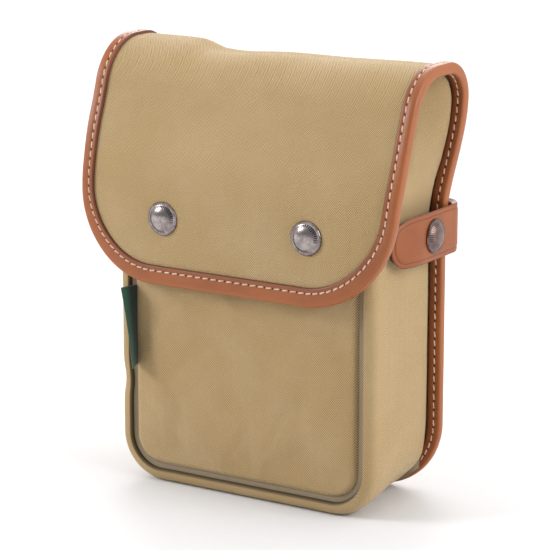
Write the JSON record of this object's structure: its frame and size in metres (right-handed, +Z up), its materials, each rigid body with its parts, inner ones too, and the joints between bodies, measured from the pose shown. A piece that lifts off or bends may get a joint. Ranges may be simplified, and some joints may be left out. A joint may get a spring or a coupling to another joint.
{
  "type": "harness pouch",
  "caption": "Upright padded canvas pouch with a full-width leather-bound flap, press studs and a strap tab on each side.",
  "frame": {"origin": "on the underside of the base, midway between the sides and 30 mm in front of the back panel", "axes": "+Z up, the front with the flap faces -Y, +X is the right side seen from the front"},
  "size_m": [0.16, 0.0736, 0.1938],
  "materials": {
    "canvas": "herringbone twill cotton canvas, khaki, matt",
    "foam": "closed-cell padding between canvas and lining",
    "lining": "plain-weave cotton lining, sand",
    "binding_leather": "smooth tan leather, stitched, burnished edge",
    "tab_leather": "thick tan bridle leather with a creased border",
    "stud_metal": "antique nickel, domed, lightly worn",
    "socket_metal": "nickel-plated brass, plain",
    "label_ribbon": "dark green woven ribbon",
    "board": "stiff black board"
  },
  "bodies": {
    "pouch_body": {"front_panel": "canvas", "front_foam": "foam", "front_lining": "lining", "mouth_facing": "canvas", "back_panel": "canvas", "back_foam": "foam", "back_lining": "lining", "inner_pocket": "lining", "back_binding": "binding_leather", "gusset": "canvas", "gusset_foam": "foam", "gusset_lining": "lining", "base_board": "board", "side_label": "label_ribbon", "flap_studs": "socket_metal", "flap_eyelets": "socket_metal", "tab_patches": "tab_leather", "tab_studs": "socket_metal", "tab_eyelets": "socket_metal", "right_tab_anchor": "tab_leather", "left_tab_anchor": "tab_leather"},
    "flap_top": {"flap_top_canvas": "canvas", "flap_top_stiffener": "foam", "flap_top_lining": "lining", "flap_top_binding_left": "binding_leather", "flap_top_binding_right": "binding_leather"},
    "flap_front": {"flap_front_canvas": "canvas", "flap_front_stiffener": "foam", "flap_front_lining": "lining", "flap_front_binding": "binding_leather", "flap_caps": "stud_metal", "flap_sockets": "socket_metal", "flap_socket_springs": "socket_metal"},
    "right_tab_arm": {"right_tab": "tab_leather", "right_tab_cap": "stud_metal", "right_tab_socket": "socket_metal", "right_tab_spring": "socket_metal"},
    "left_tab_arm": {"left_tab": "tab_leather", "left_tab_cap": "stud_metal", "left_tab_socket": "socket_metal", "left_tab_spring": "socket_metal"}
  },
  "joints": [
    {"name": "flap_back_fold", "type": "hinge", "parent": "pouch_body", "child": "flap_top", "pos_m": [0, 0.0313, 0.172], "axis": [-1, 0, 0], "range_deg": [0, 120]},
    {"name": "flap_front_fold", "type": "hinge", "parent": "flap_top", "child": "flap_front", "pos_m": [0, -0.01853, 0.17227], "axis": [-1, 0, 0], "range_deg": [0, 90]},
    {"name": "right_tab_fold", "type": "hinge", "parent": "pouch_body", "child": "right_tab_arm", "pos_m": [0.07016, 0.03936, 0.1192], "axis": [0, 0, 1], "range_deg": [0, 110]},
    {"name": "left_tab_fold", "type": "hinge", "parent": "pouch_body", "child": "left_tab_arm", "pos_m": [-0.07016, 0.03936, 0.1192], "axis": [0, 0, -1], "range_deg": [0, 110]}
  ]
}
